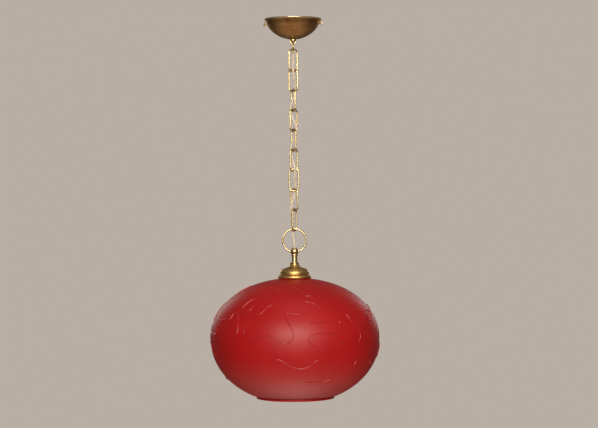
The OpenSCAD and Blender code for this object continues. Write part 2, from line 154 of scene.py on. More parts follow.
def place_round_axis(tree):
    """Distance from the lamp's axis and height, the same all the way round a turned piece."""
    parts = place_by_axes(tree)
    flat = add_node(tree, "ShaderNodeCombineXYZ", {"X": parts["X"], "Y": parts["Y"]})
    radius = add_node(tree, "ShaderNodeVectorMath", {0: flat.outputs["Vector"]},
                      operation="LENGTH")
    return add_node(tree, "ShaderNodeCombineXYZ", {"X": radius.outputs["Value"],
                                                   "Z": parts["Z"]}).outputs["Vector"]


def noise(tree, place, per_metre, detail=4.0, rough=0.55):
    """Noise between 0 and 1 with so many lumps to the metre."""
    return add_node(tree, "ShaderNodeTexNoise",
                    {"Vector": place, "Scale": per_metre, "Detail": detail,
                     "Roughness": rough}).outputs["Fac"]


def ramp(tree, amount, stops):
    """Turn an amount into a colour by a few stops, each (position, colour)."""
    node = add_node(tree, "ShaderNodeValToRGB", {"Fac": amount})
    while len(node.color_ramp.elements) < len(stops):
        node.color_ramp.elements.new(0.5)
    for element, (position, colour) in zip(node.color_ramp.elements, stops):
        element.position = position
        element.color = (*colour, 1)
    return node.outputs["Color"]


def spread(tree, amount, low, high):
    """Stretch noise, most of which lies between 0.3 and 0.7, to run from low to high."""
    return add_node(tree, "ShaderNodeMapRange",
                    {"Value": amount, "From Min": 0.3, "From Max": 0.7, "To Min": low,
                     "To Max": high}).outputs["Result"]


def mix_colours(tree, amount, first, second):
    """Mix two colours or colour sockets."""
    node = add_node(tree, "ShaderNodeMix", {0: amount, 6: first, 7: second}, data_type="RGBA")
    return node.outputs[2]


def bump(tree, height, depth):
    """A bump whose full height is depth in metres."""
    return add_node(tree, "ShaderNodeBump",
                    {"Height": height, "Distance": depth, "Strength": 1.0}).outputs["Normal"]


def use(tree, shader, **sockets):
    """Link results to the shader's sockets; an underscore in a name stands for a space."""
    for name, socket in sockets.items():
        tree.links.new(socket, shader.inputs[name.replace("_", " ")])

# %% [markdown]
# ## Brass
#
# Four brasses hang on this lamp. The chain and the rings are polished and only faintly
# tarnished, with fine scratches from handling. The ball, the stem and the screws keep the fine
# rings of the lathe. The cap is antiqued: dark stain is left where the polishing wheel didn't
# reach, and its turning marks run round it. The canopy is spun from sheet and aged to a deep
# brown that lets only a little gold through. Along its top edge a painted highlight turns it
# pale gold, standing for the bright line that light draws there, and it is a little less rough.

# %% Brass
def polished_brass():
    """Light brass with a thin, patchy tarnish and hairline scratches."""
    material, tree, shader = new_finish("polished_brass", (0.83, 0.62, 0.31), 1.0, 0.2)
    patches = noise(tree, place_on_lamp(tree), 60)
    colour = ramp(tree, patches, [(0.30, (0.64, 0.46, 0.20)), (0.48, (0.80, 0.61, 0.31)),
                                  (0.72, (0.88, 0.71, 0.39))])
    hairs = noise(tree, place_on_lamp(tree, (1, 1, 0.12)), 2600, 3, 0.7)
    use(tree, shader, Base_Color=colour, Roughness=spread(tree, patches, 0.33, 0.25),
        Normal=bump(tree, hairs, 0.0015*MM))
    return material


def turned_brass():
    """Polished brass with the fine rings that a lathe tool leaves."""
    material, tree, shader = new_finish("turned_brass", (0.80, 0.60, 0.30), 1.0, 0.22)
    rings = noise(tree, place_round_axis(tree), 1800, 3, 0.7)
    patches = noise(tree, place_on_lamp(tree), 90)
    colour = ramp(tree, patches, [(0.32, (0.56, 0.40, 0.17)), (0.50, (0.76, 0.58, 0.29)),
                                  (0.70, (0.86, 0.70, 0.41))])
    use(tree, shader, Base_Color=colour, Roughness=spread(tree, rings, 0.24, 0.34),
        Normal=bump(tree, rings, 0.006*MM))
    return material


def antique_brass():
    """Golden brass, stained dark in rings and blotches and polished bright between them."""
    material, tree, shader = new_finish("antique_brass", (0.55, 0.36, 0.13), 1.0, 0.3)
    rings = noise(tree, place_round_axis(tree), 420, 4, 0.6)
    blotches = noise(tree, place_on_lamp(tree), 110, 6, 0.65)
    stain = mix_colours(tree, 0.45, rings, blotches)
    colour = ramp(tree, stain, [(0.34, (0.26, 0.14, 0.04)), (0.46, (0.56, 0.35, 0.12)),
                                (0.66, (0.82, 0.56, 0.22))])
    fine = noise(tree, place_round_axis(tree), 2400, 2, 0.7)
    use(tree, shader, Base_Color=colour, Roughness=spread(tree, blotches, 0.36, 0.50),
        Normal=bump(tree, fine, 0.008*MM))
    return material


def aged_brass():
    """Spun brass aged to a brown patina, golden in thin rings, with a painted highlight along its
    top edge.
    """
    # The heights where the painted highlight on the rim starts and where it is full.
    highlight_from, highlight_to = -2.8*MM, -1.6*MM
    less_rough = -0.12
    material, tree, shader = new_finish("aged_brass", (0.22, 0.12, 0.05), 1.0, 0.34)
    rings = noise(tree, place_round_axis(tree), 260, 4, 0.65)
    clouds = noise(tree, place_on_lamp(tree), 24, 5, 0.6)
    patina = mix_colours(tree, 0.55, rings, clouds)
    colour = ramp(tree, patina, [(0.34, (0.24, 0.095, 0.030)), (0.50, (0.40, 0.215, 0.080)),
                                 (0.68, (0.56, 0.36, 0.15))])
    # Painted highlight: the top of the rim is mixed towards pale gold by height, and made a little
    # less rough.
    painted_rim_highlight = add_node(tree, "ShaderNodeMapRange",
                      {"Value": place_by_axes(tree)["Z"], "From Min": highlight_from,
                       "From Max": highlight_to}).outputs["Result"]
    colour = mix_colours(tree, painted_rim_highlight, colour, (0.88, 0.70, 0.42, 1))
    rough = add_node(tree, "ShaderNodeMath", {0: painted_rim_highlight, 1: less_rough,
                                              2: spread(tree, clouds, 0.34, 0.48)},
                     operation="MULTIPLY_ADD")
    fine = noise(tree, place_round_axis(tree), 2600, 2, 0.7)
    use(tree, shader, Base_Color=colour, Roughness=rough.outputs["Value"],
        Normal=bump(tree, fine, 0.008*MM))
    return material


POLISHED = polished_brass()
TURNED = turned_brass()
ANTIQUE = antique_brass()
AGED = aged_brass()
print("brass:", POLISHED.name, TURNED.name, ANTIQUE.name, AGED.name)

# %% [markdown]
# ## Satin red glass
#
# The globe is blown in a deep red glass and etched, so its skin scatters light over a wide,
# soft highlight. A clear glass shader would let the bulb show, which this dense glass doesn't
# do, so it is a coloured surface with a broad gloss and a grain too fine to see. The trailed
# threads stand proud of the etching, and they keep more of their polish.

# %% Satin red glass
def satin_glass():
    """Etched red glass: a broad gloss, slow colour changes and a fine grain."""
    material, tree, shader = new_finish("satin_red_glass", (0.42, 0.003, 0.004), 0.0, 0.55)
    clouds = noise(tree, place_on_lamp(tree), 14, 3)
    colour = ramp(tree, clouds, [(0.30, (0.37, 0.0018, 0.0022)), (0.70, (0.42, 0.0026, 0.0032))])
    grain = noise(tree, place_on_lamp(tree), 2200, 2, 0.6)
    use(tree, shader, Base_Color=colour, Roughness=spread(tree, clouds, 0.46, 0.52),
        Normal=bump(tree, grain, 0.02*MM))
    shader.inputs["IOR"].default_value = 1.52
    shader.inputs["Specular IOR Level"].default_value = 0.42
    return material


def trailed_glass():
    """The same glass, fire-polished, for the threads."""
    material, tree, shader = new_finish("trailed_red_glass", (0.36, 0.006, 0.008), 0.0, 0.25)
    streaks = noise(tree, place_on_lamp(tree), 120, 3)
    colour = ramp(tree, streaks, [(0.30, (0.34, 0.004, 0.005)), (0.70, (0.48, 0.010, 0.012))])
    use(tree, shader, Base_Color=colour, Roughness=spread(tree, streaks, 0.32, 0.44))
    shader.inputs["IOR"].default_value = 1.52
    shader.inputs["Coat Weight"].default_value = 0.15
    shader.inputs["Coat Roughness"].default_value = 0.2
    return material


SATIN_GLASS = satin_glass()
TRAILED_GLASS = trailed_glass()
print("glass:", SATIN_GLASS.name, TRAILED_GLASS.name)

# %% [markdown]
# ## Steel, ceramic, plastic and rubber
#
# These finishes are mostly inside the canopy and the globe, where the lamp is opened to be
# wired. Zinc plating is bluish and cloudy, the ceramic is glazed over faint lumps, and the
# moulded plastic has a fine matt texture.

# %% Steel, ceramic, plastic and rubber
def speckled(name, dark, light, per_metre, metallic, rough, depth):
    """A finish of two mixed colours, with its roughness and a bump from the same noise."""
    material, tree, shader = new_finish(name, light, metallic, rough[0])
    clouds = noise(tree, place_on_lamp(tree), per_metre)
    grain = noise(tree, place_on_lamp(tree), per_metre*12, 2)
    use(tree, shader, Base_Color=ramp(tree, clouds, [(0.3, dark), (0.7, light)]),
        Roughness=spread(tree, clouds, *rough), Normal=bump(tree, grain, depth))
    return material


ZINC = speckled("zinc_plated_steel", (0.42, 0.44, 0.46), (0.66, 0.67, 0.68), 150, 1.0,
                (0.28, 0.42), 0.02*MM)
GLAZED = speckled("glazed_ceramic", (0.74, 0.72, 0.66), (0.86, 0.85, 0.80), 120, 0.0,
                  (0.12, 0.22), 0.02*MM)
MOULDED = speckled("moulded_black_plastic", (0.012, 0.011, 0.010), (0.030, 0.028, 0.026), 180,
                   0.0, (0.32, 0.46), 0.03*MM)
GASKET = speckled("gasket_rubber", (0.020, 0.019, 0.019), (0.045, 0.042, 0.040), 260, 0.0,
                  (0.65, 0.80), 0.05*MM)
BROWN_SLEEVE = speckled("brown_sleeve", (0.10, 0.035, 0.015), (0.16, 0.06, 0.03), 200, 0.0,
                        (0.28, 0.40), 0.01*MM)
BLUE_SLEEVE = speckled("blue_sleeve", (0.015, 0.07, 0.28), (0.03, 0.11, 0.40), 200, 0.0,
                       (0.28, 0.40), 0.01*MM)
GREEN_SLEEVE = speckled("green_sleeve", (0.10, 0.24, 0.02), (0.42, 0.44, 0.03), 90, 0.0,
                        (0.28, 0.40), 0.01*MM)
SOLDER = speckled("solder", (0.40, 0.40, 0.41), (0.70, 0.70, 0.71), 400, 1.0, (0.30, 0.50),
                  0.06*MM)
TUNGSTEN = speckled("tungsten", (0.20, 0.20, 0.21), (0.36, 0.36, 0.37), 900, 1.0,
                    (0.35, 0.50), 0.02*MM)
print("inner finishes:", len(bpy.data.materials), "materials so far")

# %% [markdown]
# ## Clear sheath, copper cores and bulb glass
#
# The flex is a clear sheath over three cores whose own insulation is clear too, so what shows
# is the pale warm colour of bright, twisted copper. A refracting sheath would keep the light
# off the cores, so the sheath is a thin haze with a gloss that lets the light reach them. The
# bulb is empty, so its glass can refract.

# %% Clear sheath, copper cores and bulb glass
def bulb_glass():
    """Clear blown glass with faint streaks in its gloss."""
    material, tree, shader = new_finish("bulb_glass", (0.98, 0.98, 0.97), 0.0, 0.02)
    streaks = noise(tree, place_on_lamp(tree, (1, 1, 0.2)), 40, 3)
    use(tree, shader, Roughness=spread(tree, streaks, 0.012, 0.03))
    shader.inputs["Transmission Weight"].default_value = 1.0
    shader.inputs["IOR"].default_value = 1.46
    return material


def hazy_sheath():
    """Clear plastic with a warm haze, through which light and shadow pass."""
    material, tree, shader = new_finish("clear_sheath", (0.92, 0.82, 0.66), 0.0, 0.15)
    streaks = noise(tree, place_on_lamp(tree, (1, 1, 0.2)), 300, 3)
    use(tree, shader, Roughness=spread(tree, streaks, 0.10, 0.22))
    shader.inputs["Alpha"].default_value = 0.16
    return material


def copper_core():
    """Bright copper strands seen through a clear, glossy skin."""
    material, tree, shader = new_finish("copper_core", (0.86, 0.74, 0.58), 0.0, 0.4)
    strands = noise(tree, place_on_lamp(tree, (1, 1, 0.25)), 1800, 3)
    colour = ramp(tree, strands, [(0.35, (0.72, 0.58, 0.40)), (0.65, (0.90, 0.78, 0.62))])
    use(tree, shader, Base_Color=colour, Roughness=spread(tree, strands, 0.30, 0.45),
        Normal=bump(tree, strands, 0.02*MM))
    shader.inputs["Coat Weight"].default_value = 0.8
    shader.inputs["Coat Roughness"].default_value = 0.08
    return material


SHEATH = hazy_sheath()
BULB_GLASS = bulb_glass()
COPPER = copper_core()
print("clear finishes:", SHEATH.name, BULB_GLASS.name, COPPER.name)

# %% [markdown]
# ## Tools for shapes
#
# Three ways of making cover nearly every piece here. A turned piece is half of its outline
# spun about the axis. A wire is a round section that is extruded and bent, as wire is bent on
# a former. A flat or drilled piece already has the right shape in the frame, so a copy of it
# is merged and its sharp edges are broken by a small bevel, which is what catches the light.

# %% Tools for shapes
def finished(name, bm, material, body, stands_for=(), crease=35):
    """Turn a bmesh into a smooth piece that rides on a body."""
    bmesh.ops.remove_doubles(bm, verts=bm.verts, dist=0.002*MM)
    bmesh.ops.recalc_face_normals(bm, faces=bm.faces)
    mesh = bpy.data.meshes.new(name)
    bm.to_mesh(mesh)
    bm.free()
    mesh.materials.append(material)
    mesh.shade_smooth()
    mesh.set_sharp_from_angle(angle=math.radians(crease))
    piece = bpy.data.objects.new(name, mesh)
    scene.collection.objects.link(piece)
    if body:
        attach(piece, body)
    if stands_for:
        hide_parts(*stands_for)
    return piece


def spin_outline(bm, outline, steps=96, closed=True):
    """Spin points (radius, height) about the lamp's axis."""
    points = [bm.verts.new((r, 0, z)) for r, z in outline]
    lines = [bm.edges.new(pair) for pair in zip(points, points[1:])]
    if closed:
        lines.append(bm.edges.new((points[-1], points[0])))
    bmesh.ops.spin(bm, geom=points + lines, cent=(0, 0, 0), axis=(0, 0, 1),
                   angle=math.tau, steps=steps, use_merge=True)


def turned(name, outline, material, body, stands_for=(), steps=96, closed=True,
           crease=35):
    """One piece turned from an outline."""
    bm = bmesh.new()
    spin_outline(bm, outline, steps, closed)
    return finished(name, bm, material, body, stands_for, crease)


def curve(centre, half_sizes, start, end, steps):
    """Points on part of an ellipse in an outline, from one angle to another in degrees."""
    angles = [math.radians(start + (end - start)*i/steps) for i in range(steps + 1)]
    return [(centre[0] + half_sizes[0]*math.cos(a), centre[1] + half_sizes[1]*math.sin(a))
            for a in angles]


def arc(centre, radius, start, end, steps):
    """Points on part of a circle in an outline."""
    return curve(centre, (radius, radius), start, end, steps)


def softened(node, material, width):
    """A copy of a frame node, merged, with its sharp edges broken by a small bevel."""
    solid = frame["nodes"][node]
    bm = bmesh.new()
    bm.from_mesh(solid.data)
    bmesh.ops.remove_doubles(bm, verts=bm.verts, dist=0.002*MM)
    bmesh.ops.dissolve_limit(bm, angle_limit=math.radians(1), verts=bm.verts, edges=bm.edges)
    sharp = [e for e in bm.edges if len(e.link_faces) == 2
             and e.calc_face_angle() > math.radians(40)]
    bmesh.ops.bevel(bm, geom=sharp, offset=width, offset_type="OFFSET", segments=2,
                    profile=0.5, affect="EDGES", material=-1, clamp_overlap=True)
    bmesh.ops.triangulate(bm, faces=bm.faces)
    return finished(node + "_soft", bm, material, solid["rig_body"], [node])

# %% [markdown]
# ## Canopy
#
# The canopy is a bowl that covers the hole in the ceiling. The spinner forces a sheet over a
# former and folds its edge back into a thin bead, so that it isn't sharp. The bead catches
# the light as a bright line round the rim, and its finish adds a painted highlight there too.
# So the outline is one arc outside, the bead, and one arc inside.

# %% Canopy
low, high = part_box("canopy_bowl")
rim_r = high.x
sheet = 1*MM
bead_r = 1*MM
edge_r = rim_r - 1.2*MM
edge_z = -2.5*MM
depth = edge_z - low.z
bowl_r = (edge_r**2 + depth**2)/(2*depth)
centre = (0, low.z + bowl_r)
edge_angle = math.degrees(math.asin((edge_z - centre[1])/bowl_r))
outline = arc(centre, bowl_r, -90, edge_angle, 30)
outline += arc((rim_r - bead_r, edge_z + 1.3*MM), bead_r, -75, 195, 14)
outline += arc(centre, bowl_r - sheet, edge_angle, -90, 30)
canopy = turned("spun_canopy", outline, AGED, "canopy", ["canopy_bowl"],
                steps=160, closed=False, crease=50)
print("canopy:", round(2*rim_r/MM), "mm across,", len(canopy.data.polygons), "faces")

# %% [markdown]
# ## Stamped, drilled and moulded pieces
#
# A steel strap is screwed to the ceiling, and the canopy hangs from its two ears by the side
# screws. The ceramic block joins the lamp to the house wiring. These pieces, and those that
# clamp the glass and make up most of the lampholder, were stamped, drilled or moulded, so they
# only need their edges broken, each by its own few tenths of a millimetre. The cores, the
# bulb's glass and its insulator keep the frame's own shape and only take a finish.

# %% Stamped, drilled and moulded pieces
SOFTENED = {
    "zinc_steel": (ZINC, {"ceiling_strap": 0.25, "loop_washer": 0.15, "loop_locknut": 0.25,
                          "earth_lug": 0.12, "retaining_plate": 0.2, "stem_locknut": 0.25}),
    "bright_brass": (TURNED, {"terminal_screws": 0.12, "earth_screw": 0.2, "cord_grip": 0.3,
                              "canopy_side_screws": 0.35, "holder_contact": 0.15,
                              "holder_screws": 0.2}),
    "ceramic": (GLAZED, {"terminal_block": 0.5, "holder_insert": 0.25}),
    "black_plastic": (MOULDED, {"cord_grip_nut": 0.2, "holder_cap": 0.4}),
    "rubber": (GASKET, {"cap_gasket": 0.2, "plate_gasket": 0.2}),
}
for slot, (material, widths) in SOFTENED.items():
    for node, width in widths.items():
        piece = softened(node, material, width*MM)
        print("softened", node, len(piece.data.polygons))
for node, material in [("core_live", BROWN_SLEEVE), ("core_neutral", BLUE_SLEEVE),
                       ("core_earth", GREEN_SLEEVE), ("holder_cores", BLUE_SLEEVE),
                       ("bulb_insulator", MOULDED), ("bulb_glass", BULB_GLASS)]:
    frame["nodes"][node].material_slots[0].material = material

# %% [markdown]
# ## Bent wire
#
# Each link is cut from brass wire and bent round a former until its two ends meet, and the
# fine line where they butt stays visible on one long side. The same hand makes the jump ring.
# A torus or a curve would give the round section but no seam, so the section is walked round
# the shape instead: an extrusion for each straight, a spin for each bend.

# %% Bent wire
def outer_edge(found):
    """The open loop of edges in what an operator returned, and its points."""
    edges = [e for e in found if isinstance(e, bmesh.types.BMEdge) and e.is_boundary]
    return edges, list({v for e in edges for v in e.verts})


def bend_wire(start, heading, across, radius, moves, sides=20):
    """Walk a round section through moves: ("straight", length) or ("bend", radius, degrees).
    A bend turns towards across."""
    bm = bmesh.new()
    heading = Vector(heading).normalized()
    across = Vector(across).normalized()
    axis = heading.cross(across)
    frame_matrix = Matrix((axis, across, heading)).transposed().to_4x4()
    bmesh.ops.create_circle(bm, segments=sides, radius=radius,
                            matrix=Matrix.Translation(start) @ frame_matrix)
    edges = list(bm.edges)
    place = Vector(start)
    for move in moves:
        if move[0] == "straight":
            made = bmesh.ops.extrude_edge_only(bm, edges=edges)["geom"]
            edges, points = outer_edge(made)
            bmesh.ops.translate(bm, verts=points, vec=heading*move[1])
            place = place + heading*move[1]
        else:
            centre = place + across*move[1]
            turn = Matrix.Rotation(math.radians(move[2]), 3, axis)
            points = list({v for e in edges for v in e.verts})
            made = bmesh.ops.spin(bm, geom=points + edges, cent=centre, axis=axis,
                                  angle=math.radians(move[2]), steps=max(3, round(move[2]/6)))
            edges, points = outer_edge(made["geom_last"])
            place = centre + turn @ (place - centre)
            heading, across = turn @ heading, turn @ across
    ends = [e for e in bm.edges if e.is_boundary]
    bmesh.ops.holes_fill(bm, edges=ends, sides=0)
    bmesh.ops.bevel(bm, geom=ends, offset=0.12*radius, offset_type="OFFSET", segments=1,
                    profile=0.5, affect="EDGES", material=-1)
    return bm

# %% [markdown]
# ## Jump ring and chain
#
# The plane of each link is read from the joint below it, whose pin is the link's own lower
# wire. Every other link has its seam on the other side, because the chain maker turns the
# chain over while closing it.

# %% Jump ring and chain
joints = {joint["name"]: joint for joint in frame["joints"]}
wire_r = 1.5*MM
link_w = 19*MM
link_corner = 6*MM
seam = 0.06*MM


def link_below(index):
    """The name of the joint under a link."""
    return f"link_{index + 1}_swing" if index < 9 else "suspension_ring_swing"


def chain_link(index):
    """One long link, bent in the plane of its lower joint's pin."""
    low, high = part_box(f"link_{index}")
    side = Vector(joints[link_below(index)]["axis"]) * (1 if index % 2 else -1)
    straight_h = high.z - low.z - 2*(link_corner + wire_r)
    straight_w = link_w - 2*(link_corner + wire_r)
    middle = Vector((0, 0, (low.z + high.z)/2)) + side*(link_w/2 - wire_r)
    half = ("straight", straight_h/2 - seam)
    corner = ("bend", link_corner, 90)
    moves = [half, corner, ("straight", straight_w), corner, ("straight", straight_h), corner,
             ("straight", straight_w), corner, half]
    bm = bend_wire(middle + Vector((0, 0, seam)), (0, 0, 1), -side, wire_r, moves)
    return finished(f"chain_link_{index}", bm, POLISHED, f"link_{index}",
                    [f"link_{index}"])


for index in range(1, 10):
    link = chain_link(index)
low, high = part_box("jump_ring")
jump_r = (high.z - low.z)/2 - wire_r
gap_angle = math.degrees(seam/jump_r)
bm = bend_wire((0, jump_r*math.cos(gap_angle), (low.z + high.z)/2), (0, 0, 1), (0, -1, 0), wire_r,
               [("bend", jump_r, 360 - 2*gap_angle)])
finished("chain_jump_ring", bm, POLISHED, "jump_ring", ["jump_ring"])
print("chain: nine links of", len(link.data.polygons), "faces and a jump ring")

# %% [markdown]
# ## Hang loop and suspension ring
#
# The hang loop is a turned collar on a threaded nipple, with an eye of wire brazed under it.
# The suspension ring is one bent wire too, but open: its two ends turn inwards and pivot in
# the sides of the swivel ball. The foot of each side is a short bend, so that the ring leaves
# its pin at the slope that its circle has there, and a little past it.

# %% Screw threads
def ridge(bm, radius, size, pitch, turns, start, sides=8, steps=36):
    """A helical ridge of round section, wound up about the lamp's axis from a start height."""
    upright = Matrix.Rotation(math.pi/2, 4, "X")
    made = bmesh.ops.create_circle(bm, segments=sides, radius=size,
                                   matrix=Matrix.Translation((radius, 0, start)) @ upright)
    points = made["verts"]
    edges = list({e for v in points for e in v.link_edges})
    rise = Vector((0, 0, pitch/steps))
    made = bmesh.ops.spin(bm, geom=points + edges, cent=(0, 0, 0), axis=(0, 0, 1), dvec=rise,
                          angle=math.tau*turns, steps=round(turns*steps))
    last, _ = outer_edge(made["geom_last"])
    for loop in (edges, last):
        bmesh.ops.holes_fill(bm, edges=loop, sides=0)


# %% Hang loop
loop_low, loop_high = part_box("hang_loop")
collar_r = loop_high.x
eye_wire_r = 1.4*MM
eye_r = 4.8*MM
nipple_r = 5*MM
collar_low = loop_high.z - 10.2*MM
collar_high = collar_low + 2.4*MM
edge = 0.5*MM
outline = [(0, collar_low), (collar_r - edge, collar_low)]
outline += arc((collar_r - edge, collar_low + edge), edge, -90, 0, 4)
outline += arc((collar_r - edge, collar_high - edge), edge, 0, 90, 4)
outline += [(nipple_r - 0.2*MM, collar_high), (nipple_r - 0.2*MM, loop_high.z - edge),
            (nipple_r - 0.6*MM, loop_high.z), (0, loop_high.z)]
bm = bmesh.new()
spin_outline(bm, outline, 64, closed=False)
ridge(bm, nipple_r - 0.4*MM, 0.36*MM, 1*MM, 6, collar_high + 0.6*MM)
finished("hang_collar", bm, TURNED, "canopy", ["hang_loop"])
eye_middle = loop_low.z + eye_wire_r + eye_r
eye_gap = 4
gap_r = math.radians(eye_gap)
bm = bend_wire((eye_r*math.sin(gap_r), 0, eye_middle + eye_r*math.cos(gap_r)), (1, 0, 0),
               (0, 0, -1), eye_wire_r, [("bend", eye_r, 360 - 2*eye_gap)])
eye = finished("hang_eye", bm, POLISHED, "canopy")
print("hang loop: an eye of", len(eye.data.polygons), "faces under a collar")

# %% Suspension ring
low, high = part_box("suspension_ring")
ring_wire_r = 1.65*MM
ring_r = (high.x - low.x)/2 - ring_wire_r
ball_z = joints["lamp_swing"]["pos_m"][2]
pin_tip = 4.7*MM
foot_r = 4*MM
ring_z = high.z - ring_wire_r - ring_r
past_slope = 2.1
foot = math.degrees(math.acos((ring_z - ball_z)/ring_r)) + past_slope
pin = (ring_r - foot_r)*math.sin(math.radians(foot)) - pin_tip
bm = bend_wire((-pin_tip, 0, ball_z), (-1, 0, 0), (0, 0, 1), ring_wire_r,
               [("straight", pin), ("bend", foot_r, foot), ("bend", ring_r, 360 - 2*foot),
                ("bend", foot_r, foot), ("straight", pin)], sides=24)
ring = finished("bent_ring", bm, POLISHED, "suspension_ring",
                ["suspension_ring"])
print("suspension ring:", round(2*ring_r/MM, 1), "mm at the wire's middle,",
      len(ring.data.polygons), "faces")

# %% [markdown]
# ## Ball, stem and cap
#
# The swivel ball, the stem and its flange were turned on a lathe, and the cap was spun over a
# former, so each is an outline that is spun about the axis. The outlines are lines and arcs,
# as a turner would draw them, with the outer corners broken. The stem is a tube, as the flex
# runs down through it, and the end inside the globe shows its thread.

# %% Swivel ball
ball_r = 7.4*MM
bore_r = 3.2*MM
neck_r = 5.9*MM
neck_share = 0.735
bore_angle = math.degrees(math.acos(bore_r/ball_r))
neck_angle = math.degrees(math.acos(neck_share))
outline = [(bore_r, ball_z - 4.1*MM)]
outline += [(bore_r, ball_z + ball_r*math.sin(math.radians(bore_angle)) - 0.4*MM)]
outline += arc((0, ball_z), ball_r, bore_angle - 3, -neck_angle, 22)
outline += arc((neck_r - 0.5*MM, ball_z - 5.3*MM), 0.5*MM, 60, 0, 3)
outline += arc((neck_r - 0.5*MM, ball_z - 7.6*MM), 0.5*MM, 0, -90, 4)
outline += [(5.05*MM, ball_z - 8.1*MM), (5.05*MM, ball_z - 4.1*MM)]
ball = turned("turned_ball", outline, TURNED, "lamp", ["swivel_ball"], steps=72)
print("swivel ball:", len(ball.data.polygons), "faces")

# %% Stem and flange
stem_low, stem_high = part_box("stem_tube")
stem_r = stem_high.x
chamfer = 0.4*MM
thread_high = 14*MM
outline = [(bore_r, stem_low.z), (stem_r - 0.7*MM, stem_low.z),
           (stem_r - 0.3*MM, stem_low.z + chamfer), (stem_r - 0.3*MM, stem_low.z + thread_high),
           (stem_r, stem_low.z + thread_high + chamfer), (stem_r, stem_high.z - chamfer),
           (stem_r - chamfer, stem_high.z), (bore_r, stem_high.z)]
bm = bmesh.new()
spin_outline(bm, outline, 72)
ridge(bm, stem_r - 0.4*MM, 0.38*MM, 1*MM, 12, stem_low.z + 1*MM)
finished("stem_turned", bm, TURNED, "lamp", ["stem_tube"])
flange_low, flange_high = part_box("stem_flange")
flange_r = flange_high.x
half = (flange_high.z - flange_low.z)/2
outline = [(stem_r + 0.05*MM, flange_high.z), (flange_r - half, flange_high.z)]
outline += arc((flange_r - half, flange_low.z + half), half, 80, -80, 12)
outline += [(flange_r - half, flange_low.z), (stem_r + 0.05*MM, flange_low.z)]
turned("flange_turned", outline, TURNED, "lamp", ["stem_flange"], steps=72)
print("stem:", round((stem_high.z - stem_low.z)/MM), "mm long")

# %% Cap
cap_low, cap_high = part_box("glass_cap")
cap_r = cap_high.x
sheet = 1.1*MM
flare = curve((20*MM, cap_high.z), (-12*MM, -7.6*MM), 0, 60, 12)
shoulder = curve((18.5*MM, cap_high.z - 16.4*MM), (7.3*MM, 8*MM), 72, 0, 14)
groove = curve((25.9*MM, cap_high.z - 17.9*MM), (1.1*MM, 0.9*MM), 100, 250, 7)
band = curve((cap_r - 2.7*MM, cap_low.z + 3.2*MM), (2.7*MM, 3.2*MM), 88, -66, 16)
outer = flare + shoulder + groove + band
inner = [(r - sheet - 0.6*MM, z - sheet) for r, z in reversed(flare[5:] + shoulder + groove)]
outline = [(stem_r + 0.1*MM, cap_high.z), *outer, (cap_r - 2*MM, cap_low.z),
           (cap_r - 2.8*MM, cap_low.z + 2.3*MM), (cap_r - 3.1*MM, cap_low.z + 4.6*MM), *inner,
           (stem_r + 0.1*MM, cap_high.z - 2.8*MM)]
cap = turned("spun_cap", outline, ANTIQUE, "lamp", ["glass_cap"], steps=128,
             crease=50)
print("cap:", round(2*cap_r/MM), "mm across,", len(cap.data.polygons), "faces")

# %% [markdown]
# ## Flex
#
# The clear flex is one cable that threads the chain. It has to bend with the chain, so it is
# made in twelve lengths that hand over at the middle of each link and ring. A length is a
# hollow sheath with three twisted cores.
# A curve with a round bevel would do for a free cable, but here both ends of every length
# have to square up exactly to the next one, so each section is placed by its own matrix.

# %% Flex
flex_route = [(0, 0.013, -0.016), (0, 0.013, -0.026), (0, 0.013, -0.048), (0, -0.005, -0.092),
              (0.0035, 0.0035, -0.127), (-0.0055, 0.0015, -0.1625), (0.0055, -0.001, -0.198),
              (-0.0055, 0.001, -0.2335), (0.0015, -0.0045, -0.269), (0.002, 0.0045, -0.304),
              (-0.0055, -0.001, -0.3395), (-0.003, 0.0045, -0.375), (0, 0, -0.406),
              (0, 0, -0.430), (0, 0, -0.481)]
flex_r = 2.5*MM
sheath_wall = 0.45*MM
core_r = 0.86*MM
core_offset = 1.08*core_r
core_pitch = 38*MM


def flex_at(z):
    """Where the flex's middle is at a height: half a cosine wave from point to point."""
    z = max(flex_route[-1][2], min(flex_route[0][2], z))
    leg = next((i for i in range(len(flex_route) - 1) if z >= flex_route[i + 1][2]),
               len(flex_route) - 2)
    a, b = Vector(flex_route[leg]), Vector(flex_route[leg + 1])
    mix = (1 - math.cos(math.pi*(a.z - z)/(a.z - b.z)))/2
    return Vector((a.x + (b.x - a.x)*mix, a.y + (b.y - a.y)*mix, z))


def sweep(bm, stations, sides):
    """Draw a round section through stations, each (middle, direction, radius), and return
    its first and last loops of edges."""
    side = Vector((1, 0, 0))
    places = []
    for middle, direction, radius in stations:
        direction = direction.normalized()
        side = (side - direction*side.dot(direction)).normalized()
        turn = Matrix((side, direction.cross(side), direction)).transposed().to_4x4()
        places.append(Matrix.Translation(middle) @ turn @ Matrix.Diagonal((radius,)*3).to_4x4())
    points = bmesh.ops.create_circle(bm, segments=sides, radius=1, matrix=places[0])["verts"]
    edges = list({e for v in points for e in v.link_edges})
    first = edges
    for old, new in zip(places, places[1:]):
        made = bmesh.ops.extrude_edge_only(bm, edges=edges)["geom"]
        edges, points = outer_edge(made)
        bmesh.ops.transform(bm, matrix=new @ old.inverted(), verts=points)
    return first, edges


def rod(bm, stations, sides):
    """A round section drawn through stations, with both of its ends closed."""
    for loop in sweep(bm, stations, sides):
        bmesh.ops.holes_fill(bm, edges=loop, sides=0)


def flex_stations(top, low, radius, steps, offset=0.0, phase=0.0):
    """Stations down the flex, on its middle or on a twisted core."""
    def point(z):
        turn = phase + math.tau*z/core_pitch
        return flex_at(z) + offset*Vector((math.cos(turn), math.sin(turn), 0))
    heights = [top + (low - top)*i/steps for i in range(steps + 1)]
    return [(point(z), point(z - 0.1*MM) - point(z + 0.1*MM), radius) for z in heights]


